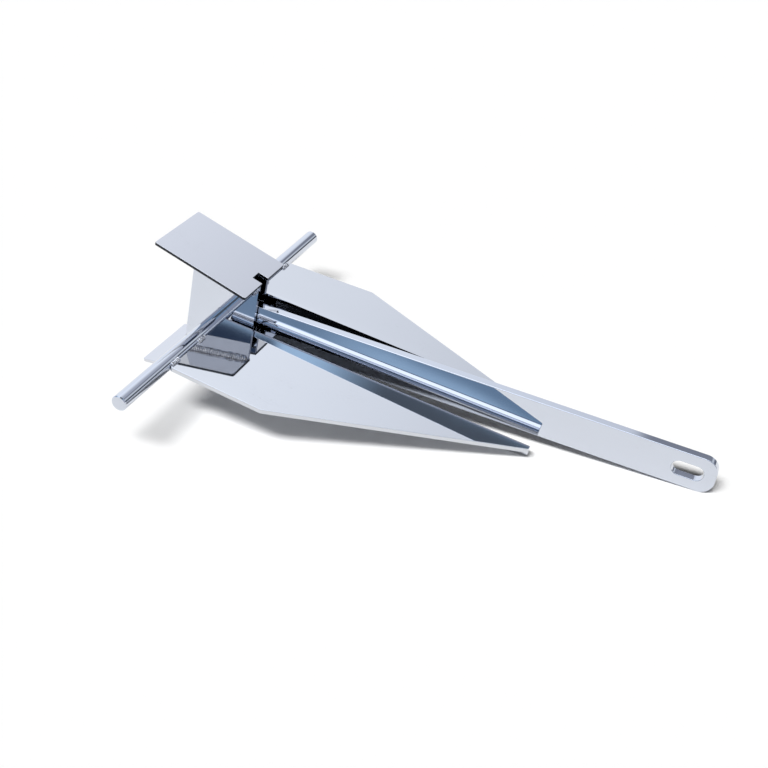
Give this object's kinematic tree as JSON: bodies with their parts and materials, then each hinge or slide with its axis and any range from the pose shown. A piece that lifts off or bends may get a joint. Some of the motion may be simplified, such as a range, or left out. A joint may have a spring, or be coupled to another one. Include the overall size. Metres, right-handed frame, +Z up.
{
  "type": "pivoting-shank fluke anchor",
  "caption": "Boat anchor of mirror-polished stainless steel: flat twin flukes on a round stock, tripping palms, and a flat shank that pivots on the stock and ends in a shackle slot.",
  "frame": {"origin": "on the floor, under the middle of the anchor's bounding box as it lies at rest", "axes": "+X from the crown towards the shackle end of the shank, +Y along the stock towards the fluke whose flange stands up, +Z up from the floor"},
  "size_m": [0.7606, 0.52, 0.1834],
  "materials": {
    "polished_steel": "mirror-polished stainless steel",
    "weld_steel": "stainless weld metal, brushed and partly polished"
  },
  "bodies": {
    "crown": {"stock": "polished_steel", "fluke_left": "polished_steel", "fluke_right": "polished_steel", "palm_upper": "polished_steel", "palm_lower": "polished_steel", "cheek_left": "polished_steel", "cheek_right": "polished_steel", "palm_welds": "weld_steel", "stock_welds": "weld_steel"},
    "shank": {"shank": "polished_steel"}
  },
  "joints": [
    {"name": "shank_pivot", "type": "hinge", "parent": "crown", "child": "shank", "pos_m": [-0.27987, 0, 0.07888], "axis": [0, -1, 0], "range_deg": [-46.28, 39.12]}
  ]
}
